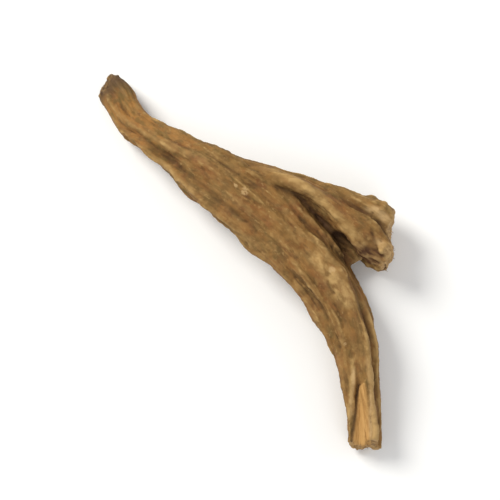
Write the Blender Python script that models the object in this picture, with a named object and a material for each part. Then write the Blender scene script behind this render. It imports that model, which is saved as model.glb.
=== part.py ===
"""A dried, forked costus root, lying on three low points.

One piece of root: a stem that is slim at its crown, swells in the middle and bends down into
a thin lower limb, and a thick upper limb that parts from the stem along a narrow slit and
ends in a torn, hollowed face. +X runs from the crown to the tip of the lower limb, +Y
towards the upper limb, +Z up. The origin is the middle of the footprint on the surface.
"""

import math

import bmesh
import bpy
import numpy as np
from mathutils import Matrix, Vector, noise

MM = 0.001

# Driving dimensions, in millimetres. A station is the middle of the limb there (along, across
# and up) and its half width and half depth.
STEM_STATIONS = [
    (0.4, 0.0, 3.6, 3.0, 3.0),
    (4.8, 0.0, 3.9, 3.4, 3.5),
    (10.5, -0.5, 4.7, 3.8, 3.8),
    (16.0, 0.5, 5.7, 3.6, 3.9),
    (21.0, 1.9, 6.5, 4.4, 4.4),
    (27.0, 4.0, 7.3, 5.2, 5.0),
    (33.5, 6.2, 7.9, 6.5, 5.7),
    (40.0, 8.2, 8.2, 7.3, 6.1),
    (48.5, 10.1, 8.2, 6.9, 6.0),
    (57.0, 11.3, 7.9, 6.4, 5.7),
    (65.5, 11.7, 7.4, 6.0, 5.5),
    (72.5, 11.1, 6.9, 5.6, 5.1),
    (79.5, 8.7, 6.2, 4.8, 4.6),
    (86.0, 5.3, 5.4, 4.0, 4.2),
    (92.5, 1.5, 4.5, 3.3, 3.8),
    (98.8, -2.7, 3.7, 3.3, 3.5),
]
LIMB_STATIONS = [
    (27.5, 5.6, 7.6, 2.4, 2.8),
    (34.0, 10.3, 8.4, 2.9, 3.4),
    (40.5, 14.7, 9.0, 2.9, 3.9),
    (46.5, 19.2, 9.3, 2.8, 4.3),
    (52.0, 21.9, 8.9, 3.7, 4.9),
    (57.0, 23.9, 8.3, 5.1, 5.5),
    (61.0, 25.4, 7.6, 6.2, 6.0),
    (65.5, 26.8, 6.9, 6.7, 6.2),
    (69.5, 28.0, 6.4, 6.3, 5.8),
]
# The stem's shoulder beside the upper limb, which leaves only a slit between the two.
SHOULDER_STATIONS = [
    (34.0, 10.0, 8.5, 2.3, 4.6),
    (39.0, 12.8, 8.6, 2.6, 4.9),
    (44.0, 15.0, 8.1, 2.9, 4.9),
    (50.0, 15.5, 7.5, 2.9, 5.0),
    (56.0, 16.2, 6.8, 3.2, 4.7),
    (60.0, 17.0, 5.9, 3.4, 4.2),
    (64.0, 17.2, 4.8, 3.2, 3.0),
]
# Low material that still joins the two limbs under the slit, as far as the crotch.
WEB_STATIONS = [
    (44.0, 15.8, 6.6, 2.4, 3.0),
    (52.0, 17.8, 5.8, 3.2, 2.9),
    (59.0, 19.2, 5.0, 3.9, 2.8),
    (63.0, 19.5, 4.6, 3.9, 2.4),
    (66.0, 19.3, 4.4, 3.3, 2.1),
]

# A bearing goes round a limb in degrees: 0 on its +Y side, 90 on top, 180 on its -Y side.
# A furrow runs between two places along its limb, from one bearing to another. It is a ridge
# where its depth is negative.
STEM_FURROWS = [
    {"run": (14, 56), "bearing": (128, 138), "depth": 1.0, "width": 1.1},
    {"run": (24, 80), "bearing": (164, 170), "depth": -0.7, "width": 1.5},
    {"run": (30, 62), "bearing": (70, 62), "depth": 0.6, "width": 0.9},
    {"run": (6, 30), "bearing": (60, 48), "depth": 0.7, "width": 0.9},
    {"run": (52, 94), "bearing": (52, 44), "depth": 0.7, "width": 0.8},
    {"run": (34, 78), "bearing": (92, 104), "depth": 0.5, "width": 0.9},
    {"run": (58, 86), "bearing": (150, 140), "depth": 0.6, "width": 0.9},
    {"run": (20, 74), "bearing": (205, 226), "depth": 0.9, "width": 1.2},
    {"run": (8, 60), "bearing": (262, 280), "depth": 0.8, "width": 1.1},
    {"run": (48, 96), "bearing": (300, 318), "depth": 0.9, "width": 1.0},
    {"run": (-2, 30), "bearing": (132, 84), "depth": -0.8, "width": 0.9},
    {"run": (6, 34), "bearing": (148, 152), "depth": -0.6, "width": 0.9},
    {"run": (54, 78), "bearing": (64, 60), "depth": -0.8, "width": 1.2},
    {"run": (70, 120), "bearing": (74, 44), "depth": -1.1, "width": 0.8},
    {"run": (72, 104), "bearing": (32, 30), "depth": -0.6, "width": 0.8},
    {"run": (78, 118), "bearing": (140, 154), "depth": -1.0, "width": 0.8},
    {"run": (36, 84), "bearing": (120, 124), "depth": -0.5, "width": 1.0},
]
LIMB_FURROWS = [
    {"run": (12, 50), "bearing": (66, 158), "depth": -1.6, "width": 1.6},
    {"run": (16, 58), "bearing": (38, 92), "depth": 1.7, "width": 1.4},
    {"run": (20, 54), "bearing": (20, 42), "depth": -1.0, "width": 1.1},
    {"run": (22, 48), "bearing": (350, 346), "depth": 0.8, "width": 1.1},
    {"run": (26, 48), "bearing": (330, 310), "depth": 0.8, "width": 1.2},
    {"run": (24, 48), "bearing": (262, 250), "depth": 0.7, "width": 1.0},
]
# Scars of lateral roots and small stubs: low knobs, or pits where the height is negative.
STEM_KNOBS = [
    {"at": 4, "bearing": 40, "radius": 2.2, "height": 0.5},
    {"at": 39.5, "bearing": 76, "radius": 1.3, "height": 0.6},
    {"at": 58, "bearing": 90, "radius": 1.2, "height": 0.5},
    {"at": 68, "bearing": 58, "radius": 1.8, "height": 0.8},
    {"at": 74, "bearing": 168, "radius": 2.8, "height": 0.5},
    {"at": 30, "bearing": 172, "radius": 2.8, "height": 0.4},
    {"at": 46, "bearing": 226, "radius": 2.8, "height": 0.8},
    {"at": 25, "bearing": 300, "radius": 1.6, "height": -0.7},
    {"at": 64, "bearing": 275, "radius": 1.8, "height": -0.8},
]
LIMB_KNOBS = [
    {"at": 30, "bearing": 50, "radius": 1.8, "height": 0.8},
    {"at": 38, "bearing": 350, "radius": 2.2, "height": 1.0},
    {"at": 33, "bearing": 285, "radius": 1.6, "height": 0.7},
    {"at": 43.5, "bearing": 206, "radius": 2.6, "height": 1.8},
    {"at": 46, "bearing": 110, "radius": 1.6, "height": 1.4},
    {"at": 42, "bearing": 146, "radius": 2.2, "height": 1.0},
    {"at": 44, "bearing": 48, "radius": 1.4, "height": 0.8},
    {"at": 42.5, "bearing": 240, "radius": 2.0, "height": 0.9},
]
# The lower limb's tip is split open on top down to the wood.
SPLIT = {"run": (89, 101), "bearing": (98, 102), "depth": 1.8, "width": 2.7}
# The torn limb is hollowed out on the side that faces the fork.
HOLLOW = {"at": 42.0, "bearing": 186, "length": 5.5, "width": 3.0, "depth": 3.8}
FEET = [(4.8, 0.0), (96.2, -0.6), (66.0, 26.6)]
FOOT_FLAT_RADIUS = 1.7
FOOT_RADIUS = 4.4
FOOT_SINK = 1.6  # how far the underside is pressed down over a foot
FOOT_REACH = 6.0  # the height above which nothing is pressed


def spline(stations, spacing):
    """Rows along a smooth curve through the stations, evenly spaced, and their places."""
    points = np.array(stations, float)
    padded = np.vstack([2 * points[0] - points[1], points, 2 * points[-1] - points[-2]])
    t = np.linspace(0, 1, 25)[:-1, None]
    spans = []
    for a, b, c, d in zip(padded, padded[1:], padded[2:], padded[3:]):
        bend = 2 * a - 5 * b + 4 * c - d
        twist = 3 * b - a - 3 * c + d
        spans.append(0.5 * (2 * b + (c - a) * t + bend * t**2 + twist * t**3))
    fine = np.vstack([*spans, points[-1:]])
    run = np.concatenate([[0], np.cumsum(np.linalg.norm(np.diff(fine[:, :3], axis=0), axis=1))])
    places = np.linspace(0, run[-1], round(run[-1] / spacing) + 1)
    rows = np.column_stack([np.interp(places, run, fine[:, k]) for k in range(5)])
    return rows, places


def ease(value, low, high):
    """0 below low, 1 above high and a smooth step between."""
    share = np.clip((value - low) / (high - low), 0, 1)
    return share * share * (3 - 2 * share)


def angle_gap(a, b):
    """The angle from b to a, in radians, the short way round."""
    return (a - b + math.pi) % (2 * math.pi) - math.pi


def bearing_along(feature, place):
    """The bearing of a feature at a place along its run, in radians."""
    share = np.clip(np.interp(place, feature["run"], (0, 1)), 0, 1)
    start, end = feature["bearing"]
    return math.radians(start + (end - start) * share)


def furrow(feature, place, angle, radius):
    """Depth of a V-shaped furrow at a place and angle."""
    start, end = feature["run"]
    fade = 0.25 * (end - start)
    window = ease(place, start, start + fade) * (1 - ease(place, end - fade, end))
    off = abs(angle_gap(angle, bearing_along(feature, place))) * radius
    return feature["depth"] * window * math.exp(-((off / feature["width"]) ** 1.4))


def knob(feature, place, angle, radius):
    """Height of a rounded knob, or of a pit, at a place and angle."""
    across = angle_gap(angle, math.radians(feature["bearing"])) * radius
    off = math.hypot(place - feature["at"], across) / feature["radius"]
    return feature["height"] * math.exp(-(off**2))


def split(place, angle, radius):
    """Depth of the split: steep walls and a floor that widens towards the tip."""
    share = float(ease(place, *SPLIT["run"]))
    if share == 0:
        return 0.0
    off = abs(angle_gap(angle, bearing_along(SPLIT, place))) * radius
    width = SPLIT["width"] * (0.2 + 0.8 * share)
    return SPLIT["depth"] * share**0.4 * float(1 - ease(off, 0.62 * width, width))


def hollow(place, angle, radius):
    """Depth of the rotted hollow beside the fork."""
    across = angle_gap(angle, math.radians(HOLLOW["bearing"])) * radius / HOLLOW["width"]
    along = (place - HOLLOW["at"]) / HOLLOW["length"]
    return HOLLOW["depth"] * math.exp(-((along**2 + across**2) ** 2))


def ribs(place, angle, radius, seed):
    """Long ribs that wander and twist a little, and slow swellings of the whole limb."""
    drift = 0.9 * noise.noise(Vector((place / 26, seed, 0.5)))
    turned = angle - 0.008 * place + drift
    uneven = noise.noise(Vector((place / 15, 2.1 * math.cos(turned), 2.1 * math.sin(turned) + seed)))
    broad = 0.050 * math.cos(4 * turned + seed) + 0.034 * math.cos(7 * turned + 2.3 * seed)
    fine = 0.020 * math.cos(12 * turned + 3.1 * drift) * (1 + uneven)
    lumps = 0.15 * noise.noise(Vector((place / 7 + seed, 1.6 * math.cos(angle), 1.6 * math.sin(angle))))
    return radius * (broad + fine + 0.10 * uneven + lumps)


def ragged(angle, seed, teeth):
    """How far the torn edge stands out at an angle, from -1 to 1."""
    spot = Vector((teeth * math.cos(angle), teeth * math.sin(angle), seed))
    return noise.noise(spot) + 0.6 * noise.noise(2.3 * spot)


def surface_offset(limb, place, angle, radius):
    """Everything that raises or sinks the bark at a place and angle of a limb."""
    offset = ribs(place, angle, radius, limb["seed"])
    offset -= sum(furrow(f, place, angle, radius) for f in limb["furrows"])
    offset += sum(knob(k, place, angle, radius) for k in limb["knobs"])
    for carve in limb["carved"]:
        offset -= carve(place, angle, radius)
    return offset


def end_profile(distance, rounding):
    """Share of its full size that a limb has near an end that is rounded over."""
    if rounding == 0 or distance >= rounding:
        return 1.0
    left = 1 - distance / rounding
    return 0.6 + 0.4 * math.sqrt(max(0.0, 1 - left * left))


def ring_points(limb, rows, places, index, shrink=1.0, sink=0.0):
    """The points of one ring, or of a cap's inner ring where shrink is below 1."""
    low, high = max(index - 1, 0), min(index + 1, len(rows) - 1)
    tangent = Vector(rows[high, :3] - rows[low, :3]).normalized()
    side = Vector((0, 0, 1)).cross(tangent).normalized()
    up = tangent.cross(side)
    along, across, height, half_width, half_depth = rows[index]
    centre = Vector((along, across, height))
    place, length = places[index], places[-1]
    radius = 0.5 * (half_width + half_depth)
    scale = min(
        end_profile(place, limb["rounding"][0]),
        end_profile(length - place, limb["rounding"][1]),
    )
    points = []
    for k in range(limb["sides"]):
        angle = 2 * math.pi * k / limb["sides"]
        swell = 1 + surface_offset(limb, place, angle, radius) / radius
        reach = shrink * scale * swell
        shift = end_shift(limb, place, length, angle, radius, shrink, sink)
        point = centre + side * (half_width * math.cos(angle) * reach)
        point += up * (half_depth * math.sin(angle) * reach) + tangent * shift
        points.append(point)
    return points


def end_shift(limb, place, length, angle, radius, shrink, sink):
    """How far a tear moves a point near an end: its slant, its lean and the notch beside it."""
    shift = 0.0
    for end, distance, sign in ((0, place, -1), (1, length - place, 1)):
        tear = limb["tears"][end]
        if tear is None or distance >= tear["reach"]:
            continue
        weight = 1 - float(ease(distance, 0, tear["reach"]))
        jag = tear["jag"] * ragged(angle, limb["seed"] + 5 * end, tear["teeth"])
        slant = radius * (tear["slant"] * math.cos(angle) - tear["lean"] * math.sin(angle))
        slant -= sign * tear["notch"] * float(ease(math.cos(angle), -0.05, 0.6))
        inner = 0.9 * (1 - shrink) * ragged(2 * angle, limb["seed"] + 11 * shrink, 1.4)
        shift += weight * shrink * (sign * jag + slant) + sign * (inner * tear["jag"] - sink)
    return shift


def limb_mesh(name, limb):
    """A closed skin of rings along a limb, with sunken caps on its ends."""
    rows, places = spline(limb["stations"], limb["spacing"])
    shell = bmesh.new()
    last = len(rows) - 1
    rings = [ring_points(limb, rows, places, i) for i in range(last + 1)]
    caps = ((0.72, 0.25), (0.42, 0.55))
    before = [ring_points(limb, rows, places, 0, s, limb["dish"] * d) for s, d in reversed(caps)]
    after = [ring_points(limb, rows, places, last, s, limb["dish"] * d) for s, d in caps]
    loops = []
    for ring in [*before, *rings, *after]:
        loops.append([shell.verts.new(point * MM) for point in ring])
    for first, second in zip(loops, loops[1:]):
        for k in range(limb["sides"]):
            n = (k + 1) % limb["sides"]
            shell.faces.new((first[k], first[n], second[n], second[k]))
    for loop in (loops[0], loops[-1]):
        middle = sum((v.co for v in loop), Vector()) / len(loop)
        hub = shell.verts.new(middle)
        for k in range(limb["sides"]):
            shell.faces.new((loop[k], loop[(k + 1) % limb["sides"]], hub))
    bmesh.ops.recalc_face_normals(shell, faces=shell.faces[:])
    mesh = bpy.data.meshes.new(name)
    shell.to_mesh(mesh)
    shell.free()
    skin = bpy.data.objects.new(name, mesh)
    bpy.context.scene.collection.objects.link(skin)
    return skin


def fuse(body, *branches):
    """The skins as one, with what lay inside another taken out."""
    for branch in branches:
        union = body.modifiers.new(branch.name, "BOOLEAN")
        union.operation = "UNION"
        union.solver = "EXACT"
        union.object = branch
    graph = bpy.context.evaluated_depsgraph_get()
    mesh = bpy.data.meshes.new_from_object(body.evaluated_get(graph))
    for skin in (body, *branches):
        bpy.data.objects.remove(skin)
    return mesh


STEM = {
    "stations": STEM_STATIONS,
    "spacing": 1.35,
    "sides": 48,
    "seed": 3.7,
    "furrows": STEM_FURROWS,
    "knobs": STEM_KNOBS,
    "carved": [split],
    "rounding": (1.8, 0.0),
    "tears": (
        {"jag": 0.9, "slant": -0.3, "lean": -0.2, "notch": 0.0, "teeth": 1.4, "reach": 6.0},
        {"jag": 1.2, "slant": 0.1, "lean": 0.3, "notch": 0.0, "teeth": 1.3, "reach": 7.0},
    ),
    "dish": 0.8,
}
LIMB = {
    "stations": LIMB_STATIONS,
    "spacing": 1.3,
    "sides": 40,
    "seed": 9.2,
    "furrows": LIMB_FURROWS,
    "knobs": LIMB_KNOBS,
    "carved": [hollow],
    "rounding": (2.0, 0.0),
    "tears": (
        None,
        {"jag": 1.8, "slant": -0.22, "lean": 0.2, "notch": 3.6, "teeth": 1.8, "reach": 13.0},
    ),
    "dish": 2.2,
}
SHOULDER = {
    "stations": SHOULDER_STATIONS,
    "spacing": 1.8,
    "sides": 20,
    "seed": 21.3,
    "furrows": [],
    "knobs": [],
    "carved": [],
    "rounding": (2.0, 1.5),
    "tears": (None, None),
    "dish": 0.0,
}
WEB = {**SHOULDER, "stations": WEB_STATIONS, "seed": 14.6}


def set_down(mesh):
    """Presses three small flat feet into the underside, and centres the root over them."""
    for vertex in mesh.vertices:
        height = vertex.co.z / MM
        for x, y in FEET:
            off = math.hypot(vertex.co.x / MM - x, vertex.co.y / MM - y)
            press = FOOT_SINK * (1 - float(ease(off, FOOT_FLAT_RADIUS, FOOT_RADIUS)))
            height -= press * max(0.0, 1 - height / FOOT_REACH)
        vertex.co.z = max(height, 0.0) * MM
    corners = np.array([vertex.co for vertex in mesh.vertices])
    middle = 0.5 * (corners.min(axis=0) + corners.max(axis=0))
    mesh.transform(Matrix.Translation((-middle[0], -middle[1], 0)))


def bark_material():
    """Dull ochre-brown bark."""
    material = bpy.data.materials.new("bark")
    material.use_nodes = True
    shader = material.node_tree.nodes["Principled BSDF"]
    shader.inputs["Base Color"].default_value = (0.26, 0.145, 0.054, 1)
    shader.inputs["Roughness"].default_value = 0.8
    shader.inputs["Metallic"].default_value = 0.0
    return material


def main():
    for obj in list(bpy.data.objects):
        bpy.data.objects.remove(obj)
    stem = limb_mesh("stem", STEM)
    limb = limb_mesh("limb", LIMB)
    shoulder = limb_mesh("shoulder", SHOULDER)
    web = limb_mesh("web", WEB)
    mesh = fuse(stem, limb, shoulder, web)
    set_down(mesh)
    mesh.materials.clear()
    mesh.materials.append(bark_material())
    mesh.shade_smooth()
    root = bpy.data.objects.new("costus_root", mesh)
    bpy.context.scene.collection.objects.link(root)


main()
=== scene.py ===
import math

import bmesh
import bpy
import numpy as np
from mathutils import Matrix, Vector


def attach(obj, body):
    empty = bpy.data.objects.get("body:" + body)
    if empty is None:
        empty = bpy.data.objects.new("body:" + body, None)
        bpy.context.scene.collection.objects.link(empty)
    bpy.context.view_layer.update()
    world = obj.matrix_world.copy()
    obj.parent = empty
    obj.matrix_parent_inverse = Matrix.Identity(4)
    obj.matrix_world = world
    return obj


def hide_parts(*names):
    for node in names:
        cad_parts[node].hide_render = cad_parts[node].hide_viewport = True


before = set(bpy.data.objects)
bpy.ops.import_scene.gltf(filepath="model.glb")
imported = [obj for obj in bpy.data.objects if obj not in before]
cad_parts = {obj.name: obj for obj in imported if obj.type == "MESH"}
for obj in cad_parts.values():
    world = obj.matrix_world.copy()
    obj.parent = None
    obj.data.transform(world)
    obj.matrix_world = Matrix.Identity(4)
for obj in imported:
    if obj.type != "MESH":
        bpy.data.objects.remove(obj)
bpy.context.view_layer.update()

millimetre = 0.001
imageRight = Vector((0.5978, 0.8016, 0.0))  # the photo's right and up, laid on the floor
imageUp = Vector((-0.8016, 0.5978, 0.0))
straightUp = Vector((0.0, 0.0, 1.0))


# Camera, floor and light

cameraPlan = {
    "azimuth": 53.3,
    "elevation": 80.0,
    "aim": (0.0, -0.0112, 0.006),
    "distance": 0.332,
    "lens": 110.0,
    "clip": (0.01, 20.0),
}
lightPlan = {
    "key": {"from": (-0.75, 0.6, 0.85), "size": 0.3, "power": 3.6, "tint": (1.0, 0.985, 0.94)},
    "fill": {"from": (0.3, -0.8, 0.8), "size": 0.45, "power": 0.8, "tint": (1.0, 1.0, 1.0)},
    "rim": {"from": (0.95, 0.3, 0.6), "size": 0.3, "power": 0.5, "tint": (1.0, 1.0, 1.0)},
    "distance": 0.62,
    "world": 0.50,
    "worldTint": (1.0, 1.0, 1.0, 1.0),
}
floorPlan = {
    "radius": 1.6,
    "sides": 96,
    "colour": (0.90, 0.90, 0.895, 1.0),
    "roughness": 0.7,
    "specular": 0.2,
}


def makeCamera():
    azimuth = math.radians(cameraPlan["azimuth"])
    elevation = math.radians(cameraPlan["elevation"])
    back = Vector((
        math.sin(azimuth) * math.cos(elevation),
        -math.cos(azimuth) * math.cos(elevation),
        math.sin(elevation),
    ))
    data = bpy.data.cameras.new("studioCamera")
    data.lens = cameraPlan["lens"]
    data.clip_start, data.clip_end = cameraPlan["clip"]
    camera = bpy.data.objects.new("studioCamera", data)
    camera.location = Vector(cameraPlan["aim"]) + back * cameraPlan["distance"]
    camera.rotation_mode = "QUATERNION"
    camera.rotation_quaternion = back.to_track_quat("Z", "Y")
    bpy.context.scene.collection.objects.link(camera)
    bpy.context.scene.camera = camera


def makeLights():
    aim = Vector(cameraPlan["aim"])
    for name in ("key", "fill", "rim"):
        plan = lightPlan[name]
        across, along, above = plan["from"]
        toLight = (imageRight * across + imageUp * along + straightUp * above).normalized()
        data = bpy.data.lights.new(name + "Softbox", "AREA")
        data.shape = "DISK"
        data.size = plan["size"]
        data.energy = plan["power"]
        data.color = plan["tint"]
        light = bpy.data.objects.new(name + "Softbox", data)
        light.location = aim + toLight * lightPlan["distance"]
        light.rotation_mode = "QUATERNION"
        light.rotation_quaternion = toLight.to_track_quat("Z", "Y")
        bpy.context.scene.collection.objects.link(light)
    world = bpy.data.worlds.new("softRoom")
    world.use_nodes = True
    background = world.node_tree.nodes["Background"]
    background.inputs["Color"].default_value = lightPlan["worldTint"]
    background.inputs["Strength"].default_value = lightPlan["world"]
    bpy.context.scene.world = world
    bpy.context.scene.view_settings.view_transform = "Standard"


def makeFloor():
    shell = bmesh.new()
    bmesh.ops.create_circle(
        shell, cap_ends=True, segments=floorPlan["sides"], radius=floorPlan["radius"]
    )
    mesh = bpy.data.meshes.new("paleFloor")
    shell.to_mesh(mesh)
    shell.free()
    paper = bpy.data.materials.new("palePaper")
    paper.use_nodes = True
    shader = paper.node_tree.nodes["Principled BSDF"]
    shader.inputs["Base Color"].default_value = floorPlan["colour"]
    shader.inputs["Roughness"].default_value = floorPlan["roughness"]
    shader.inputs["Specular IOR Level"].default_value = floorPlan["specular"]
    mesh.materials.append(paper)
    floor = bpy.data.objects.new("paleFloor", mesh)
    bpy.context.scene.collection.objects.link(floor)


# Small helpers for node trees, the same for geometry and for shaders

def feed(tree, socket, value):
    if isinstance(value, bpy.types.NodeSocket):
        tree.links.new(value, socket)
    else:
        socket.default_value = value


def addNode(tree, kind, inputs=(), **settings):
    node = tree.nodes.new(kind)
    for name, value in settings.items():
        setattr(node, name, value)
    for key, value in dict(inputs).items():
        feed(tree, node.inputs[key], value)
    return node


def calc(tree, operation, *values, clamp=False):
    node = addNode(tree, "ShaderNodeMath", enumerate(values), operation=operation, use_clamp=clamp)
    return node.outputs[0]


def vectorCalc(tree, operation, *values):
    node = addNode(tree, "ShaderNodeVectorMath", enumerate(values), operation=operation)
    return node.outputs[0]


def scaleVector(tree, vector, factor):
    node = addNode(tree, "ShaderNodeVectorMath", {0: vector, "Scale": factor}, operation="SCALE")
    return node.outputs[0]


def step(tree, value, low, high, toLow=0.0, toHigh=1.0):
    # a smooth step from low to high
    node = addNode(tree, "ShaderNodeMapRange", interpolation_type="SMOOTHSTEP")
    for socket, given in zip(node.inputs[:5], (value, low, high, toLow, toHigh)):
        feed(tree, socket, given)
    return node.outputs[0]


def mixColour(tree, factor, first, second):
    # a Mix node keeps its colours on its sockets 6 and 7 and gives the result on 2
    node = addNode(tree, "ShaderNodeMix", data_type="RGBA", clamp_factor=True)
    feed(tree, node.inputs[0], factor)
    feed(tree, node.inputs[6], first)
    feed(tree, node.inputs[7], second)
    return node.outputs[2]


def attribute(tree, name, vector=False):
    # a stored value of the root's own mesh, in either kind of tree
    if tree.bl_idname == "ShaderNodeTree":
        node = addNode(tree, "ShaderNodeAttribute", attribute_name=name, attribute_type="GEOMETRY")
        return node.outputs["Vector" if vector else "Fac"]
    kind = "FLOAT_VECTOR" if vector else "FLOAT"
    node = addNode(tree, "GeometryNodeInputNamedAttribute", {"Name": name}, data_type=kind)
    return node.outputs["Attribute"]


def newGroup(name, kind, inputs, outputs):
    tree = bpy.data.node_groups.new(name, kind)
    for label, socketType, value in inputs:
        socket = tree.interface.new_socket(label, in_out="INPUT", socket_type=socketType)
        if value is not None:
            socket.default_value = value
    for label, socketType in outputs:
        tree.interface.new_socket(label, in_out="OUTPUT", socket_type=socketType)
    given = tree.nodes.new("NodeGroupInput")
    result = tree.nodes.new("NodeGroupOutput")
    return tree, given.outputs, result.inputs


def useGroup(tree, group, **inputs):
    kind = "ShaderNodeGroup" if tree.bl_idname == "ShaderNodeTree" else "GeometryNodeGroup"
    node = addNode(tree, kind, node_tree=group)
    for name, value in inputs.items():
        feed(tree, node.inputs[name], value)
    return node.outputs[0]


def makeGrainGroup(name, kind):
    # Noise drawn out along the grain. Stem and side limb each have their own straightened
    # coordinates in millimetres, and the two patterns fade into each other at the fork.
    tree, given, result = newGroup(
        name,
        kind,
        [
            ("Length", "NodeSocketFloat", 8.0),
            ("Width", "NodeSocketFloat", 1.0),
            ("Detail", "NodeSocketFloat", 2.0),
            ("Offset", "NodeSocketFloat", 0.0),
        ],
        [("Value", "NodeSocketFloat")],
    )
    along = calc(tree, "DIVIDE", 1.0, given["Length"])
    across = calc(tree, "DIVIDE", 1.0, given["Width"])
    size = addNode(tree, "ShaderNodeCombineXYZ", {0: along, 1: across, 2: across}).outputs[0]
    values = []
    for source in ("stemGrain", "limbGrain"):
        place = vectorCalc(tree, "MULTIPLY", attribute(tree, source, vector=True), size)
        moved = vectorCalc(tree, "ADD", place, given["Offset"])
        field = addNode(
            tree, "ShaderNodeTexNoise", {"Vector": moved, "Scale": 1.0, "Detail": given["Detail"]}
        )
        values.append(field.outputs[0])
    share = attribute(tree, "limbShare")
    gap = calc(tree, "SUBTRACT", values[1], values[0])
    feed(tree, result["Value"], calc(tree, "MULTIPLY_ADD", gap, share, values[0]))
    return tree


# Noises by name: length along the grain and width across it in mm, detail, and an offset that
# gives each a pattern of its own

noisePlan = {
    # relief
    "swell": (7.0, 3.2, 1.0, 3.0),
    "lump": (2.3, 1.6, 2.0, 7.0),
    "wrinkle": (8.0, 0.95, 2.0, 11.0),
    "crest": (30.0, 2.2, 1.5, 19.0),
    "crack": (22.0, 2.6, 2.5, 23.0),
    "region": (14.0, 5.0, 1.0, 27.0),
    "furrow": (24.0, 2.6, 1.5, 31.0),
    "fibre": (8.0, 0.40, 2.0, 37.0),
    "flake": (4.5, 2.1, 4.0, 51.0),
    "grit": (0.9, 0.7, 2.0, 57.0),
    "tear": (2.6, 1.9, 2.0, 67.0),
    "fray": (2.6, 2.0, 2.0, 79.0),
    # relief and colour
    "string": (7.0, 0.8, 2.0, 113.0),
    "broken": (1.8, 0.75, 4.0, 211.0),
    # colour
    "woodFine": (5.0, 0.3, 3.0, 5.0),  # each wood's Streak takes the place of this width
    "woodBroad": (9.0, 1.6, 1.0, 15.0),
    "streak": (12.0, 1.3, 5.0, 71.0),
    "patch": (4.0, 2.0, 4.0, 83.0),
    "neckFibre": (7.0, 0.9, 3.0, 91.0),
    "reddish": (6.0, 3.2, 3.0, 103.0),
    "greenish": (7.0, 3.6, 3.0, 127.0),
    "ragged": (0.9, 0.6, 3.0, 139.0),
    "fleck": (1.1, 0.7, 3.0, 151.0),
    "mottle": (2.0, 1.3, 4.0, 163.0),
    "spot": (3.4, 2.3, 3.0, 181.0),
    "blot": (3.0, 2.1, 3.0, 199.0),
    # bump
    "fineFibre": (3.2, 0.16, 3.0, 29.0),
    "fineGrit": (0.5, 0.28, 3.0, 43.0),
}


def noise(tree, grain, name, **changed):
    sizes = dict(zip(("Length", "Width", "Detail", "Offset"), noisePlan[name]))
    return useGroup(tree, grain, **{**sizes, **changed})


# The root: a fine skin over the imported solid, in one frame with it

rootForm = {
    "middle": (50.405, 14.067),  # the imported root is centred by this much, mm
    "stemLine": [  # along, across, height, half width, half depth, mm
        (0.4, 0.0, 3.6, 3.0, 3.0), (4.8, 0.0, 3.9, 3.4, 3.5), (10.5, -0.5, 4.7, 3.8, 3.8),
        (16.0, 0.5, 5.7, 3.6, 3.9), (21.0, 1.9, 6.5, 4.4, 4.4), (27.0, 4.0, 7.3, 5.2, 5.0),
        (33.5, 6.2, 7.9, 6.5, 5.7), (40.0, 8.2, 8.2, 7.3, 6.1), (48.5, 10.1, 8.2, 6.9, 6.0),
        (57.0, 11.3, 7.9, 6.4, 5.7), (65.5, 11.7, 7.4, 6.0, 5.5), (72.5, 11.1, 6.9, 5.6, 5.1),
        (79.5, 8.7, 6.2, 4.8, 4.6), (86.0, 5.3, 5.4, 4.0, 4.2), (92.5, 1.5, 4.5, 3.3, 3.8),
        (98.8, -2.7, 3.7, 3.3, 3.5),
    ],
    "limbLine": [
        (27.5, 5.6, 7.6, 2.4, 2.8), (34.0, 10.3, 8.4, 2.9, 3.4), (40.5, 14.7, 9.0, 2.9, 3.9),
        (46.5, 19.2, 9.3, 2.8, 4.3), (52.0, 21.9, 8.9, 3.7, 4.9), (57.0, 23.9, 8.3, 5.1, 5.5),
        (61.0, 25.4, 7.6, 6.2, 6.0), (65.5, 26.8, 6.9, 6.7, 6.2), (69.5, 28.0, 6.4, 6.3, 5.8),
    ],
    "lineSamples": 420,
    "spanSamples": 24,  # between two stations
    "merge": 0.002 * millimetre,
    "voxel": 0.27 * millimetre,
    "settleRounds": 3,  # smoothing that takes out the voxel steps
    "broadRounds": 110,  # smoothing that finds what is broadly hollow or proud
    "fineRounds": 14,  # smoothing that finds the small crests and creases
    "bluntRounds": 40,  # smoothing that wears the thin teeth of the torn end
    "tooth": {"at": (22.2, 9.8, 3.8), "radius": 2.0, "rounds": 130},  # one worn back further, mm
    "scars": [  # along, across, radius, mm: pale rubbed spots on top
        (38.4, 8.1, 0.5), (40.6, 8.7, 0.8), (65.3, 13.5, 0.7), (79.4, 6.85, 0.45),
    ],
}

# Where the masks start and are full. A place is in mm along a limb, and what ends in Run counts
# back from its end. A facing is how far, from 0 to 1, a point's normal turns the same way as the
# limb runs, or the other way for the crown, or upwards for the scars.
maskPlan = {
    "limbShare": (-0.25, 0.35),  # how much nearer to the middle of the side limb than of the stem
    "grooveShare": (0.0, 0.2),
    "tipFacing": (0.3, 0.7),
    "tipRun": (5.0, 2.0),
    "crownFacing": (0.3, 0.7),
    "crownPlace": (1.5, 4.0),
    "limbFacing": (0.25, 0.65),
    "limbRun": (7.0, 4.0),
    "frayedRun": (8.0, 1.5),  # the side limb is lumpy before its torn face
    "bluntRun": (3.0, 1.0),  # and its thin teeth are worn blunt
    "recessPlace": (30.0, 34.0),
    "recessDepth": (0.60, 0.90),
    "scarFacing": (0.2, 0.6),
    "outward": 0.1,  # past this much crown the fibres point out of it
}

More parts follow.
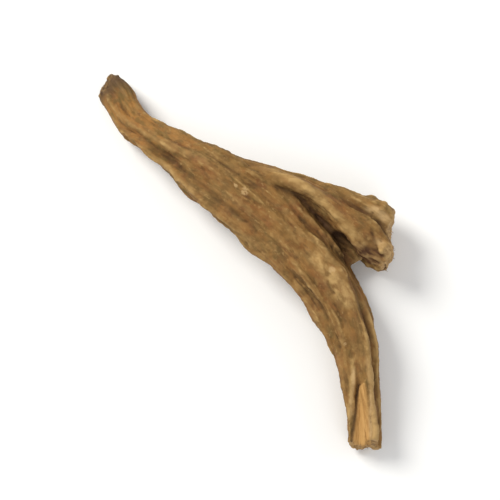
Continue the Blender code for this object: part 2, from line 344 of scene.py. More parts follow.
# The wedge of bare wood in the split tip, mm: where it starts along the stem and beside its line,
# how far it spreads to either side by the tip and how fast, how soft its edge is, and how much of
# the painted shade line along it fades on the right
wedgePlan = {
    "start": 90.5,
    "apex": 0.7,
    "left": {"spread": 3.4, "power": 0.5},
    "right": {"spread": 0.6, "power": 0.3},
    "edge": 0.25,
    "height": (0.0, 0.6),
    "begin": (0.0, 0.02),
    "fade": {"share": 0.9, "from": 0.5},
}

# Bands that run along a limb: places in mm from its start, bearings in degrees round it, from 0
# at its +Y side over 90 on top, width in mm. Rubbed and lit bands are pale, partly worn bark and
# partly painted highlight on the lit ridges, and stand up; shaded ones are painted shade, dark and
# sunk; and the hollow one is a reddish, stringy hollow, darkened partly with painted shade. The
# rims, palest of all and partly painted highlight, and the olive bands are only colour.
bandPlan = {
    "rubbedAndLitBand": [
        {"limb": "limb", "run": (10, 52), "bearing": (62, 158), "width": 1.2, "share": 1.0},
        {"limb": "limb", "run": (30, 60), "bearing": (30, 48), "width": 0.9, "share": 0.8},
        {"limb": "limb", "run": (43, 60), "bearing": (108, 108), "width": 1.4, "share": 1.0},
        {"limb": "stem", "run": (60, 76), "bearing": (84, 80), "width": 1.6, "share": 1.0},
        {"limb": "stem", "run": (6, 30), "bearing": (125, 84), "width": 0.6, "share": 0.4},
        {"limb": "stem", "run": (6, 36), "bearing": (148, 152), "width": 0.8, "share": 0.8},
        {"limb": "stem", "run": (30, 82), "bearing": (156, 160), "width": 1.2, "share": 0.35},
        {"limb": "stem", "run": (78, 122), "bearing": (67, 54), "width": 0.8, "share": 1.0},
        {"limb": "stem", "run": (72, 106), "bearing": (32, 30), "width": 0.6, "share": 0.7},
        {"limb": "stem", "run": (84, 99), "bearing": (100, 142), "width": 0.6, "share": 1.0},
    ],
    "shadedBand": [
        {"limb": "groove", "run": (17, 42), "bearing": (146, 182), "width": 1.5, "share": 1.0},
        {"limb": "limb", "run": (20, 44), "bearing": (42, 80), "width": 1.1, "share": 0.2},
        {"limb": "limb", "run": (40, 46), "bearing": (92, 132), "width": 0.5, "share": 0.8},
        {"limb": "stem", "run": (36, 62), "bearing": (30, 12), "width": 1.5, "share": 0.6},
        {"limb": "stem", "run": (68, 104), "bearing": (52, 43), "width": 0.5, "share": 0.4},
        {"limb": "stem", "run": (8, 50), "bearing": (116, 138), "width": 0.6, "share": 0.5},
    ],
    "hollowBand": [
        {"limb": "limb", "run": (34, 48), "bearing": (156, 138), "width": 2.1, "share": 1.0},
    ],
    "rimAndHighlightBand": [
        {"limb": "stem", "run": (86, 99), "bearing": (102, 142), "width": 0.45, "share": 0.8},
        {"limb": "stem", "run": (83, 122), "bearing": (68, 56), "width": 0.65, "share": 1.0},
        {"limb": "limb", "run": (35, 60), "bearing": (58, 46), "width": 0.8, "share": 0.9},
        {"limb": "limb", "run": (41, 60), "bearing": (107, 107), "width": 1.0, "share": 0.9},
        {"limb": "limb", "run": (42, 60), "bearing": (166, 166), "width": 0.9, "share": 0.9},
    ],
    "oliveBand": [
        {"limb": "limb", "run": (4, 52), "bearing": (8, 14), "width": 2.2, "share": 0.8},
        {"limb": "stem", "run": (8, 50), "bearing": (24, 8), "width": 2.2, "share": 1.0},
    ],
}
bandFade = {"in": (0.0, 0.2), "out": (0.85, 1.0)}  # shares of a band's run

# Heights in mm
reliefPlan = {
    "Swell height": 0.30,
    "Lump height": 0.24,
    "Crest height": 0.26,
    "Furrow depth": 0.22,
    "Wrinkle depth": 0.10,
    "Crack depth": 0.14,
    "Fibre depth": 0.07,
    "Flake step": 0.08,
    "Grit height": 0.09,
    "Band height": 0.28,
    "Hollow depth": 0.90,
    "String height": 0.45,
    "Wood height": 0.45,
    "Fray height": 0.95,
    "Torn depth": 0.75,
    "Crown depth": 0.60,
}

# Winding lines: how narrow they are, and where on the region noise they are weak and strong
linePlan = {
    "crest": {"narrow": 9.0, "region": (0.60, 0.40, 0.35, 1.0)},
    "furrow": {"narrow": 9.0, "region": (0.40, 0.60, 0.25, 1.0)},
    "crack": {"narrow": 24.0, "region": (0.48, 0.60, 0.0, 1.0)},
}
flakeEdge = (0.48, 0.52)


def smoothStep(value, low, high):
    share = np.clip((value - low) / (high - low), 0.0, 1.0)
    return share * share * (3.0 - 2.0 * share)


def sampleLine(stations):
    # a smooth curve through the stations, as evenly spaced rows with their places along it
    points = np.array(stations, float)
    padded = np.vstack([2 * points[0] - points[1], points, 2 * points[-1] - points[-2]])
    t = np.linspace(0, 1, rootForm["spanSamples"] + 1)[:-1, None]
    spans = []
    for a, b, c, d in zip(padded, padded[1:], padded[2:], padded[3:]):
        bend = 2 * a - 5 * b + 4 * c - d
        twist = 3 * b - a - 3 * c + d
        spans.append(0.5 * (2 * b + (c - a) * t + bend * t**2 + twist * t**3))
    fine = np.vstack([*spans, points[-1:]])
    run = np.concatenate([[0], np.cumsum(np.linalg.norm(np.diff(fine[:, :3], axis=0), axis=1))])
    places = np.linspace(0, run[-1], rootForm["lineSamples"])
    rows = np.column_stack([np.interp(places, run, fine[:, k]) for k in range(5)])
    return rows, places


def straighten(points, stations):
    # where each point lies on a limb: place along it, offsets across it and relative depth
    rows, places = sampleLine(stations)
    centres = rows[:, :3]
    tangents = np.gradient(centres, axis=0)
    tangents /= np.linalg.norm(tangents, axis=1)[:, None]
    sides = np.cross((0.0, 0.0, 1.0), tangents)
    sides /= np.linalg.norm(sides, axis=1)[:, None]
    ups = np.cross(tangents, sides)
    nearest = np.zeros(len(points), int)
    batch = 8000  # points at a time, to spare memory
    for start in range(0, len(points), batch):
        part = points[start:start + batch]
        gaps = ((part[:, None, :] - centres[None, :, :]) ** 2).sum(axis=2)
        nearest[start:start + batch] = gaps.argmin(axis=1)
    off = points - centres[nearest]
    tangent = tangents[nearest]
    place = places[nearest] + (off * tangent).sum(axis=1)
    side = (off * sides[nearest]).sum(axis=1)
    up = (off * ups[nearest]).sum(axis=1)
    depth = np.hypot(side / rows[nearest, 3], up / rows[nearest, 4])
    return {
        "grain": np.column_stack([place, side, up]),
        "place": place,
        "depth": depth,
        "radius": np.hypot(side, up),
        "tangent": tangent,
        "length": places[-1],
        "bearing": np.degrees(np.arctan2(up, side)) % 360.0,
    }


def bandMask(line, band):
    # 1 along a band, falling off beside it and towards its two ends
    start, end = band["run"]
    way = np.clip((line["place"] - start) / (end - start), 0.0, 1.0)
    first, last = band["bearing"]
    gap = (line["bearing"] - first - (last - first) * way + 180.0) % 360.0 - 180.0
    beside = np.exp(-((np.radians(gap) * line["radius"] / band["width"]) ** 2))
    ends = smoothStep(way, *bandFade["in"]) * (1.0 - smoothStep(way, *bandFade["out"]))
    return band["share"] * beside * ends


def blur(field, edges, rounds):
    # averages a value over neighbouring points, again and again
    ends = np.concatenate([edges[:, 0], edges[:, 1]])
    others = np.concatenate([edges[:, 1], edges[:, 0]])
    degree = np.maximum(np.bincount(ends, minlength=len(field)), 1)
    for _ in range(rounds):
        sums = [np.bincount(ends, column, minlength=len(field)) for column in field[others].T]
        field = np.column_stack(sums) / degree[:, None]
    return field


def readVectors(items, name, count, width=3):
    flat = np.zeros(count * width, np.float32 if name != "vertices" else np.int32)
    items.foreach_get(name, flat)
    return flat.reshape(count, width)


def store(mesh, name, values):
    vector = np.ndim(values) == 2
    made = mesh.attributes.new(name, "FLOAT_VECTOR" if vector else "FLOAT", "POINT")
    made.data.foreach_set("vector" if vector else "value", np.asarray(values, np.float32).ravel())


def plainMesh(obj, name):
    # the evaluated shape of an object as a plain mesh of its own
    graph = bpy.context.evaluated_depsgraph_get()
    mesh = bpy.data.meshes.new_from_object(obj.evaluated_get(graph))
    mesh.name = name
    return mesh


def makeFineSkin():
    # a closed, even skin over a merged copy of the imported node
    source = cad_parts["costus_root"].data.copy()
    shell = bmesh.new()
    shell.from_mesh(source)
    bmesh.ops.remove_doubles(shell, verts=shell.verts[:], dist=rootForm["merge"])
    shell.to_mesh(source)
    shell.free()
    rough = bpy.data.objects.new("roughRoot", source)
    bpy.context.scene.collection.objects.link(rough)
    remesh = rough.modifiers.new("evenSkin", "REMESH")
    remesh.mode = "VOXEL"
    remesh.voxel_size = rootForm["voxel"]
    mesh = plainMesh(rough, "costusRootSkin")
    bpy.data.objects.remove(rough)
    mesh.materials.clear()
    return mesh


def fromEnd(line, name):
    # 0 before a run at the end of a limb and 1 by the end of it
    first, last = maskPlan[name]
    return smoothStep(line["place"], line["length"] - first, line["length"] - last)


def measureWedge(stem, share):
    # the bare wood in the split tip, and a line of painted shade along its edge
    side, up = stem["grain"][:, 1], stem["grain"][:, 2]
    left, right, edge = wedgePlan["left"], wedgePlan["right"], wedgePlan["edge"]
    way = (stem["place"] - wedgePlan["start"]) / (stem["length"] - wedgePlan["start"])
    way = np.clip(way, 0, 1)
    leftEdge = wedgePlan["apex"] - left["spread"] * way ** left["power"]
    rightEdge = wedgePlan["apex"] + right["spread"] * way ** right["power"]
    off = np.maximum(leftEdge - side, side - rightEdge)
    onTop = smoothStep(up, *wedgePlan["height"]) * smoothStep(way, *wedgePlan["begin"])
    onTop *= 1 - share
    wood = onTop * (1 - smoothStep(off, -edge, edge))
    fade = wedgePlan["fade"]
    woodEdge = onTop * np.exp(-(((off - edge) / edge) ** 2))
    woodEdge *= 1 - fade["share"] * smoothStep(side, leftEdge + fade["from"], rightEdge)
    return wood, woodEdge


def storeBands(mesh, stem, limb, share):
    # the groove beside the side limb is measured from that limb, but also lies on the stem's flank
    lines = {
        "stem": (stem, 1 - share),
        "limb": (limb, share),
        "groove": (limb, smoothStep(share, *maskPlan["grooveShare"])),
    }
    for name, bands in bandPlan.items():
        masks = []
        for band in bands:
            line, own = lines[band["limb"]]
            masks.append(bandMask(line, band) * own)
        store(mesh, name, np.max(masks, axis=0))


def storeEnds(mesh, stem, limb, share, normals):
    # the broken crown, the torn tip and limb end, and the way their fibres point
    towardTip = (normals * stem["tangent"]).sum(axis=1)
    towardEnd = (normals * limb["tangent"]).sum(axis=1)
    tip = smoothStep(towardTip, *maskPlan["tipFacing"]) * fromEnd(stem, "tipRun")
    crown = smoothStep(-towardTip, *maskPlan["crownFacing"])
    crown *= 1 - smoothStep(stem["place"], *maskPlan["crownPlace"])
    end = share * smoothStep(towardEnd, *maskPlan["limbFacing"]) * fromEnd(limb, "limbRun")
    store(mesh, "tornEnd", np.maximum(end, tip))
    store(mesh, "crownEnd", crown)
    store(mesh, "frayed", share * fromEnd(limb, "frayedRun") * (1 - end))
    aim = stem["tangent"] * (1 - share)[:, None] + limb["tangent"] * share[:, None]
    aim *= np.where(crown > maskPlan["outward"], -1.0, 1.0)[:, None]
    store(mesh, "fibreAim", aim / np.linalg.norm(aim, axis=1)[:, None])


def measureSkin(mesh):
    # smooths the skin a little and stores what the relief and the materials read
    count = len(mesh.vertices)
    edges = readVectors(mesh.edges, "vertices", len(mesh.edges), 2)
    points = readVectors(mesh.vertices, "co", count).astype(float)
    points = blur(points, edges, rootForm["settleRounds"])
    inner = points / millimetre + np.array([*rootForm["middle"], 0.0])
    stem = straighten(inner, rootForm["stemLine"])
    limb = straighten(inner, rootForm["limbLine"])
    share = smoothStep(stem["depth"] - limb["depth"], *maskPlan["limbShare"])
    blunt = share * fromEnd(limb, "bluntRun")
    points += blunt[:, None] * (blur(points, edges, rootForm["bluntRounds"]) - points)
    points[:, 2] = np.maximum(points[:, 2], 0.0)
    mesh.vertices.foreach_set("co", points.astype(np.float32).ravel())
    mesh.update()

    normals = readVectors(mesh.vertices, "normal", count).astype(float)
    broad = blur(points, edges, rootForm["broadRounds"])
    # how hollow each point lies, which the bark's colour darkens with painted shade
    hollowness = ((broad - points) * normals).sum(axis=1) / millimetre
    # the recess between stem and side limb, which the bark's colour darkens with painted shade
    recess = share * smoothStep(limb["place"], *maskPlan["recessPlace"])
    recess *= 1 - smoothStep(limb["depth"], *maskPlan["recessDepth"])
    scars = np.zeros(count)
    for along, across, radius in rootForm["scars"]:
        far = np.hypot(inner[:, 0] - along, inner[:, 1] - across) / radius
        onTop = smoothStep(normals[:, 2], *maskPlan["scarFacing"])
        scars = np.maximum(scars, np.exp(-(far**2)) * onTop)
    wood, woodEdge = measureWedge(stem, share)

    store(mesh, "stemGrain", stem["grain"])
    store(mesh, "limbGrain", limb["grain"])
    store(mesh, "limbShare", share)
    store(mesh, "hollowness", hollowness)
    store(mesh, "innerWood", wood)
    store(mesh, "woodEdge", woodEdge)
    store(mesh, "recess", recess)
    store(mesh, "scar", scars)
    storeBands(mesh, stem, limb, share)
    storeEnds(mesh, stem, limb, share, normals)


def wearTooth(mesh, points):
    # wears back the thin tooth at the lowest corner of the torn limb end
    tooth = rootForm["tooth"]
    edges = readVectors(mesh.edges, "vertices", len(mesh.edges), 2)
    far = np.linalg.norm(points / millimetre - tooth["at"], axis=1) / tooth["radius"]
    return points + np.exp(-(far**4))[:, None] * (blur(points, edges, tooth["rounds"]) - points)


def measureCrests(mesh):
    # stores how far each point stands out of its close surroundings, in units of its usual spread
    count = len(mesh.vertices)
    edges = readVectors(mesh.edges, "vertices", len(mesh.edges), 2)
    points = readVectors(mesh.vertices, "co", count).astype(float)
    normals = readVectors(mesh.vertices, "normal", count).astype(float)
    near = blur(points, edges, rootForm["fineRounds"])
    normals = blur(normals, edges, rootForm["fineRounds"])
    crestOrCrease = ((points - near) * normals).sum(axis=1)
    # crests of this value are painted pale, partly as painted highlight, and creases get painted
    # shade
    store(mesh, "crestOrCrease", crestOrCrease / crestOrCrease.std())


def makeReliefTree(grain, material):
    # raises and sinks the bark along its normals: swellings, wrinkles, cracks, fibres and flakes
    inputs = [("Geometry", "NodeSocketGeometry", None)]
    inputs += [(name, "NodeSocketFloat", value) for name, value in reliefPlan.items()]
    tree, given, result = newGroup(
        "barkRelief", "GeometryNodeTree", inputs, [("Geometry", "NodeSocketGeometry")]
    )
    tree.is_modifier = True

    def swing(name):
        # a noise that swings about zero, between about -1 and 1
        return calc(tree, "MULTIPLY", calc(tree, "SUBTRACT", noise(tree, grain, name), 0.5), 2.0)

    def scaled(value, height):
        return calc(tree, "MULTIPLY", value, given[height])

    def sunk(value, depth):
        return calc(tree, "MULTIPLY", scaled(value, depth), -1.0)

    def windingLine(name):
        # 1 along the lines where a noise passes its middle, falling to 0 beside them
        line = linePlan[name]
        middle = calc(tree, "SUBTRACT", noise(tree, grain, name), 0.5)
        off = calc(tree, "MULTIPLY", calc(tree, "ABSOLUTE", middle), line["narrow"])
        sharp = calc(tree, "SUBTRACT", 1.0, off, clamp=True)
        return calc(tree, "MULTIPLY", sharp, step(tree, region, *line["region"]))

    def masked(value, name):
        return calc(tree, "MULTIPLY", value, attribute(tree, name))

    def added(*layers):
        heap = layers[0]
        for value in layers[1:]:
            heap = calc(tree, "ADD", heap, value)
        return heap

    region = noise(tree, grain, "region")
    band = calc(tree, "SUBTRACT", attribute(tree, "rubbedAndLitBand"), attribute(tree, "shadedBand"))
    flake = step(tree, noise(tree, grain, "flake"), *flakeEdge)
    onBark = added(
        scaled(swing("swell"), "Swell height"),
        scaled(swing("lump"), "Lump height"),
        scaled(windingLine("crest"), "Crest height"),
        sunk(windingLine("furrow"), "Furrow depth"),
        sunk(windingLine("crack"), "Crack depth"),
        scaled(swing("wrinkle"), "Wrinkle depth"),
        scaled(swing("grit"), "Grit height"),
        scaled(flake, "Flake step"),
        scaled(band, "Band height"),
    )
    wood = attribute(tree, "innerWood")
    bare = calc(tree, "MAXIMUM", attribute(tree, "tornEnd"), wood)
    bark = calc(tree, "SUBTRACT", 1.0, bare, clamp=True)
    knob = masked(swing("fray"), "frayed")
    total = added(
        calc(tree, "MULTIPLY", onBark, bark),
        scaled(swing("fibre"), "Fibre depth"),
        masked(scaled(swing("tear"), "Torn depth"), "tornEnd"),
        masked(scaled(swing("broken"), "Crown depth"), "crownEnd"),
        scaled(knob, "Fray height"),
        scaled(wood, "Wood height"),
        masked(scaled(swing("string"), "String height"), "hollowBand"),
        sunk(attribute(tree, "hollowBand"), "Hollow depth"),
    )

    stored = given["Geometry"]
    for name, value in (("flake", flake), ("knob", knob)):
        keeper = addNode(
            tree,
            "GeometryNodeStoreNamedAttribute",
            {"Geometry": stored, "Name": name, "Value": value},
            data_type="FLOAT",
            domain="POINT",
        )
        stored = keeper.outputs[0]
    normal = tree.nodes.new("GeometryNodeInputNormal").outputs[0]
    push = scaleVector(tree, normal, calc(tree, "MULTIPLY", total, millimetre))
    moved = addNode(tree, "GeometryNodeSetPosition", {"Geometry": stored, "Offset": push})
    real = addNode(tree, "GeometryNodeRealizeInstances", {"Geometry": moved.outputs[0]})
    dressed = addNode(
        tree, "GeometryNodeSetMaterial", {"Geometry": real.outputs[0], "Material": material}
    )
    feed(tree, result["Geometry"], dressed.outputs[0])
    return tree


def runTree(obj, tree, values):
    # sets the tree's sizes by their identifiers and returns the plain mesh that it makes
    modifier = obj.modifiers.new(tree.name, "NODES")
    modifier.node_group = tree
    for item in tree.interface.items_tree:
        if item.in_out == "INPUT" and item.name in values:
            modifier[item.identifier] = values[item.name]
    mesh = plainMesh(obj, obj.name)
    obj.modifiers.remove(modifier)
    return mesh


# Materials

barkColours = {
    "dull": (0.116, 0.061, 0.018, 1.0),
    "body": (0.183, 0.095, 0.029, 1.0),
    "tan": (0.295, 0.168, 0.054, 1.0),
    "paleTan": (0.500, 0.320, 0.125, 1.0),
    "orange": (0.330, 0.153, 0.038, 1.0),
    "russet": (0.200, 0.080, 0.025, 1.0),
    "olive": (0.135, 0.088, 0.026, 1.0),
    "crownDark": (0.066, 0.037, 0.019, 1.0),
    "wine": (0.090, 0.037, 0.015, 1.0),
    "crack": (0.055, 0.025, 0.009, 1.0),
    "shade": (0.046, 0.019, 0.007, 1.0),
    "scar": (0.52, 0.345, 0.160, 1.0),
}
woodPlan = {
    "innerWood": {
        "Pale": (0.56, 0.32, 0.11, 1.0), "Deep": (0.39, 0.20, 0.06, 1.0), "Streak": 0.28,
    },
    "tornWood": {
        "Pale": (0.54, 0.35, 0.155, 1.0), "Deep": (0.31, 0.175, 0.066, 1.0), "Streak": 0.45,
    },
    "splinter": {
        "Pale": (0.50, 0.32, 0.14, 1.0), "Deep": (0.22, 0.12, 0.045, 1.0), "Streak": 0.6,
    },
}
streakMix = {"fine": 0.65, "broad": 0.35, "range": (0.36, 0.62)}

# A mask, times another value stepped over a range. The masks for hollows and for the pits of the
# torn ends and the crown carry painted shade, and the rims carry partly painted highlight.
barkMasks = {
    "neckFibres": ("neck", "neckFibre", (0.40, 0.58)),
    "spots": ("nearNeck", "spot", (0.48, 0.60)),
    "blots": ("nearNeck", "blot", (0.50, 0.62)),
    "scuffed": ("rubbedAndLitBand", "mottle", (0.24, 0.70)),
    "rims": ("rimAndHighlightBand", "mottle", (0.30, 0.52, 0.55, 1.0)),
    "hollowShade": ("proud", "hollowness", (0.05, 1.2)),
    "stringy": ("hollow", "string", (0.60, 0.42, 0.55, 1.0)),
    "raggedScars": ("scar", "ragged", (0.34, 0.58)),
    "tornPits": ("tornEnd", "crestOrCrease", (-0.1, -1.6)),
    "crownFibres": ("crownEnd", "broken", (0.44, 0.66)),
    "crownPits": ("crownEnd", "broken", (0.48, 0.34)),
}

# The bark's colours, each laid over the ones before it: mask, its range, strength, colour
barkLayers = [
    ("reddish", (0.46, 0.60), 0.70, "russet"),
    ("greenish", (0.47, 0.63), 0.60, "olive"),
    ("oliveBand", None, 0.80, "olive"),
    ("patch", (0.50, 0.66), 0.60, "tan"),
    ("betweenFlakes", None, 0.22, "orange"),
    ("mottle", (0.50, 0.64), 0.45, "tan"),
    ("mottle", (0.46, 0.34), 0.45, "dull"),
    ("fleck", (0.58, 0.72), 0.32, "paleTan"),
    # the neck behind the crown is rubbed to orange fibres and blotted
    ("neckFibres", None, 0.60, "orange"),
    ("spots", None, 1.0, "orange"),
    ("blots", None, 1.0, "olive"),
    # proud places and crests are pale, partly from wear and partly painted highlight; hollows,
    # creases, the recess and the deep groove get painted shade
    ("rubbedAndLitBand", None, 0.45, "tan"),
    ("scuffed", (0.0, 1.0), 0.75, "paleTan"),
    # the rims are painted palest, partly pale bark rims and partly painted highlight on the lit
    # torn rim and knobs
    ("rims", (0.10, 0.80), 0.80, "scar"),
    ("crestOrCrease", (0.5, 1.8), 0.55, "tan"),
    ("crestOrCrease", (1.5, 3.0), 0.60, "paleTan"),
    ("crestOrCrease", (-0.6, -2.4), 0.60, "crack"),
    ("shadedBand", None, 0.65, "shade"),
    ("hollowShade", None, 0.88, "shade"),
    ("recess", None, 0.70, "shade"),
    # the lumpy end of the side limb, with painted highlight on its knobs and painted shade between
    # them, and its reddish hollow, darkened partly with painted shade
    ("frayed", None, 0.40, "tan"),
    ("knob", (0.0, 0.35), 0.85, "paleTan"),
    ("knob", (-0.08, -0.40), 0.70, "shade"),
    ("stringy", None, 1.0, "wine"),
    ("place", (7.0, 2.0), 0.80, "crownDark"),
    ("raggedScars", (0.10, 0.60), 0.65, "scar"),
    # the torn ends, the broken crown and the split, with painted shade in the pits of the ends and
    # the crown and along the edge of the bare wood
    ("tornEnd", None, 0.85, "tornWood"),
    ("tornPits", None, 0.45, "shade"),
    ("crownFibres", None, 0.60, "tan"),
    ("crownPits", None, 0.75, "shade"),
    ("innerWood", None, 0.95, "innerWood"),
    ("woodEdge", None, 0.75, "shade"),
]
barkFinish = {
    "streak": (0.36, 0.62),  # from dull to body
    "neckStart": (3.0, 8.0),  # mm along the stem
    "neckEnd": (26.0, 15.0),
    "nearNeck": (34.0, 22.0, 0.25, 0.6),
    "hollow": (0.10, 0.60),
    "roughness": (0.3, 0.7, 0.86, 0.70),
    "specular": 0.22,
    "fibreShare": 0.6,
    "gritShare": 0.4,
    "bumpStrength": 0.55,
    "bumpDistance": 0.22 * millimetre,
}
splinterFinish = {"roughness": 0.78, "specular": 0.3}


def makeWoodGroup(grain):
    # bare fibrous wood: streaks between a pale and a deep colour
    usual = woodPlan["innerWood"]
    tree, given, result = newGroup(
        "bareWood",
        "ShaderNodeTree",
        [
            ("Pale", "NodeSocketColor", usual["Pale"]),
            ("Deep", "NodeSocketColor", usual["Deep"]),
            ("Streak", "NodeSocketFloat", usual["Streak"]),
        ],
        [("Color", "NodeSocketColor")],
    )
    fine = calc(
        tree, "MULTIPLY", noise(tree, grain, "woodFine", Width=given["Streak"]), streakMix["fine"]
    )
    broad = calc(tree, "MULTIPLY", noise(tree, grain, "woodBroad"), streakMix["broad"])
    streak = step(tree, calc(tree, "ADD", fine, broad), *streakMix["range"])
    feed(tree, result["Color"], mixColour(tree, streak, given["Deep"], given["Pale"]))
    return tree


def readMasks(tree, grain):
    # every value that the bark's colours go by: stored ones, noises and mixtures of them
    stored = (
        "flake", "crestOrCrease", "hollowness", "knob", "frayed", "recess", "scar", "rubbedAndLitBand", "rimAndHighlightBand",
        "shadedBand", "hollowBand", "oliveBand", "tornEnd", "crownEnd", "innerWood", "woodEdge",
    )
    noises = (
        "streak", "reddish", "greenish", "patch", "mottle", "fleck", "neckFibre", "spot", "blot",
        "string", "ragged", "broken",
    )
    masks = {name: attribute(tree, name) for name in stored}
    masks.update({name: noise(tree, grain, name) for name in noises})
    stem = addNode(tree, "ShaderNodeSeparateXYZ", {0: attribute(tree, "stemGrain", vector=True)})
    place = stem.outputs[0]
    neckStart = step(tree, place, *barkFinish["neckStart"])
    neckEnd = step(tree, place, *barkFinish["neckEnd"])
    masks["place"] = place
    masks["neck"] = calc(tree, "MULTIPLY", neckStart, neckEnd)
    masks["nearNeck"] = step(tree, place, *barkFinish["nearNeck"])
    masks["hollow"] = step(tree, masks["hollowBand"], *barkFinish["hollow"])
    masks["proud"] = calc(tree, "SUBTRACT", 1.0, masks["rubbedAndLitBand"])
    masks["betweenFlakes"] = calc(tree, "SUBTRACT", 1.0, masks["flake"])
    for name, (mask, value, reach) in barkMasks.items():
        masks[name] = calc(tree, "MULTIPLY", masks[mask], step(tree, masks[value], *reach))
    return masks


def makeBarkMaterial(grain, wood):
    material = bpy.data.materials.new("rootBark")
    material.use_nodes = True
    tree = material.node_tree
    shader = tree.nodes["Principled BSDF"]
    masks = readMasks(tree, grain)
    colours = dict(barkColours)
    for name in ("tornWood", "innerWood"):
        colours[name] = useGroup(tree, wood, **woodPlan[name])
    streak = masks["streak"]
    body = step(tree, streak, *barkFinish["streak"])
    colour = mixColour(tree, body, colours["dull"], colours["body"])
    for name, reach, strength, tint in barkLayers:
        mask = step(tree, masks[name], *reach) if reach else masks[name]
        colour = mixColour(tree, calc(tree, "MULTIPLY", mask, strength), colour, colours[tint])
    feed(tree, shader.inputs["Base Color"], colour)

    feed(tree, shader.inputs["Roughness"], step(tree, streak, *barkFinish["roughness"]))
    shader.inputs["Specular IOR Level"].default_value = barkFinish["specular"]
    fibres = calc(tree, "MULTIPLY", noise(tree, grain, "fineFibre"), barkFinish["fibreShare"])
    grit = calc(tree, "MULTIPLY", noise(tree, grain, "fineGrit"), barkFinish["gritShare"])
    bump = addNode(
        tree,
        "ShaderNodeBump",
        {
            "Strength": barkFinish["bumpStrength"],
            "Distance": barkFinish["bumpDistance"],
            "Height": calc(tree, "ADD", fibres, grit),
        },
    )
    feed(tree, shader.inputs["Normal"], bump.outputs[0])
    return material


def makeSplinterMaterial(wood):
    material = bpy.data.materials.new("splinteredWood")
    material.use_nodes = True
    tree = material.node_tree
    shader = tree.nodes["Principled BSDF"]
    feed(tree, shader.inputs["Base Color"], useGroup(tree, wood, **woodPlan["splinter"]))
    shader.inputs["Roughness"].default_value = splinterFinish["roughness"]
    shader.inputs["Specular IOR Level"].default_value = splinterFinish["specular"]
    return material


# Splinters that stand out of the torn ends

splinterPlan = {
    "Per square metre": 0.50e6,
    "Length": 0.55 * millimetre,
    "Thickness": 0.13 * millimetre,
    "Sunk": 0.35 * millimetre,
    "Spread": 0.5,
    "Seed": 17,
}
splinterShape = {
    "torn": (0.5, 0.85),  # how torn the surface is where splinters begin and stand closest
    "bends": 3,
    "sides": 4,
    "lean": 0.16,  # of its length, to the side at its middle
    "leanHeight": 0.55,
    "taper": (1.0, 0.1, 0.12, 1.0),  # from its top, where it is thin, down to near its foot
    "size": (0.35, 1.25),
}


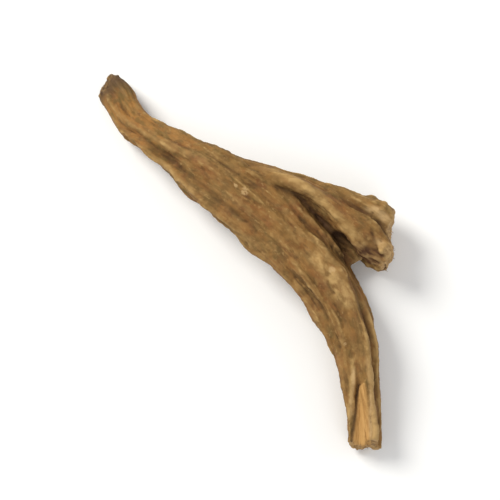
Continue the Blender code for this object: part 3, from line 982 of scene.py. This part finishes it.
def makeSplinterTree(material):
    inputs = [("Geometry", "NodeSocketGeometry", None)]
    for name, value in splinterPlan.items():
        kind = "NodeSocketInt" if name == "Seed" else "NodeSocketFloat"
        inputs.append((name, kind, value))
    tree, given, result = newGroup(
        "tornSplinters", "GeometryNodeTree", inputs, [("Geometry", "NodeSocketGeometry")]
    )
    tree.is_modifier = True
    wanted = step(tree, attribute(tree, "tornEnd"), *splinterShape["torn"])
    points = addNode(
        tree,
        "GeometryNodeDistributePointsOnFaces",
        {
            "Mesh": given["Geometry"],
            "Density": calc(tree, "MULTIPLY", wanted, given["Per square metre"]),
            "Seed": given["Seed"],
        },
        distribute_method="RANDOM",
    )
    # one bent, tapered splinter, rooted Sunk deep and standing up along +Z
    length = given["Length"]
    lean = calc(tree, "MULTIPLY", length, splinterShape["lean"])
    leanHeight = calc(tree, "MULTIPLY", length, splinterShape["leanHeight"])
    depth = calc(tree, "MULTIPLY", given["Sunk"], -1.0)
    bend = addNode(
        tree,
        "GeometryNodeCurveQuadraticBezier",
        {
            "Resolution": splinterShape["bends"],
            "Start": addNode(tree, "ShaderNodeCombineXYZ", {2: depth}).outputs[0],
            "Middle": addNode(tree, "ShaderNodeCombineXYZ", {0: lean, 2: leanHeight}).outputs[0],
            "End": addNode(tree, "ShaderNodeCombineXYZ", {2: length}).outputs[0],
        },
    )
    ring = addNode(
        tree,
        "GeometryNodeCurvePrimitiveCircle",
        {"Resolution": splinterShape["sides"], "Radius": given["Thickness"]},
        mode="RADIUS",
    )
    along = tree.nodes.new("GeometryNodeSplineParameter").outputs["Factor"]
    solid = addNode(
        tree,
        "GeometryNodeCurveToMesh",
        {
            "Curve": bend.outputs[0],
            "Profile Curve": ring.outputs[0],
            "Scale": step(tree, along, *splinterShape["taper"]),
            "Fill Caps": True,
        },
    )
    stray = addNode(
        tree,
        "FunctionNodeRandomValue",
        {"Min": (-1.0, -1.0, -1.0), "Max": (1.0, 1.0, 1.0), "Seed": given["Seed"]},
        data_type="FLOAT_VECTOR",
    ).outputs[0]
    strayed = scaleVector(tree, stray, given["Spread"])
    aim = vectorCalc(tree, "ADD", attribute(tree, "fibreAim", vector=True), strayed)
    turn = addNode(tree, "FunctionNodeAlignRotationToVector", {"Vector": aim}, axis="Z")
    smallest, largest = splinterShape["size"]
    size = addNode(
        tree,
        "FunctionNodeRandomValue",
        {2: smallest, 3: largest, "Seed": given["Seed"]},
        data_type="FLOAT",
    )
    placed = addNode(
        tree,
        "GeometryNodeInstanceOnPoints",
        {
            "Points": points.outputs[0],
            "Instance": solid.outputs[0],
            "Rotation": turn.outputs[0],
            "Scale": size.outputs[1],
        },
    )
    real = addNode(tree, "GeometryNodeRealizeInstances", {"Geometry": placed.outputs[0]})
    dressed = addNode(
        tree, "GeometryNodeSetMaterial", {"Geometry": real.outputs[0], "Material": material}
    )
    feed(tree, result["Geometry"], dressed.outputs[0])
    return tree


def addPiece(name, mesh, *nodes):
    piece = bpy.data.objects.new(name, mesh)
    bpy.context.scene.collection.objects.link(piece)
    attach(piece, "root")
    if nodes:
        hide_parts(*nodes)


def main():
    makeCamera()
    makeLights()
    makeFloor()
    print("camera, light and floor ready")

    surfaceGrain = makeGrainGroup("surfaceGrain", "GeometryNodeTree")
    colourGrain = makeGrainGroup("colourGrain", "ShaderNodeTree")
    bareWood = makeWoodGroup(colourGrain)
    bark = makeBarkMaterial(colourGrain, bareWood)
    splintered = makeSplinterMaterial(bareWood)
    print("materials ready")

    skin = makeFineSkin()
    measureSkin(skin)
    carrier = bpy.data.objects.new("rootCarrier", skin)
    bpy.context.scene.collection.objects.link(carrier)
    print("fine skin has", len(skin.polygons), "faces")

    relief = makeReliefTree(surfaceGrain, bark)
    rootMesh = runTree(carrier, relief, reliefPlan)
    carrier.data = rootMesh
    count = len(rootMesh.vertices)
    points = wearTooth(rootMesh, readVectors(rootMesh.vertices, "co", count).astype(float))
    points[:, 2] = np.maximum(points[:, 2], 0.0)
    rootMesh.vertices.foreach_set("co", points.astype(np.float32).ravel())
    rootMesh.update()
    measureCrests(rootMesh)
    print("relief raised on", count, "points")

    splinterMesh = runTree(carrier, makeSplinterTree(splintered), splinterPlan)
    bpy.data.objects.remove(carrier)
    for mesh in (rootMesh, splinterMesh):
        mesh.shade_smooth()
    print("splinters have", len(splinterMesh.polygons), "faces")

    addPiece("rootBody", rootMesh, "costus_root")
    addPiece("rootSplinters", splinterMesh)
    print("root dressed")


main()
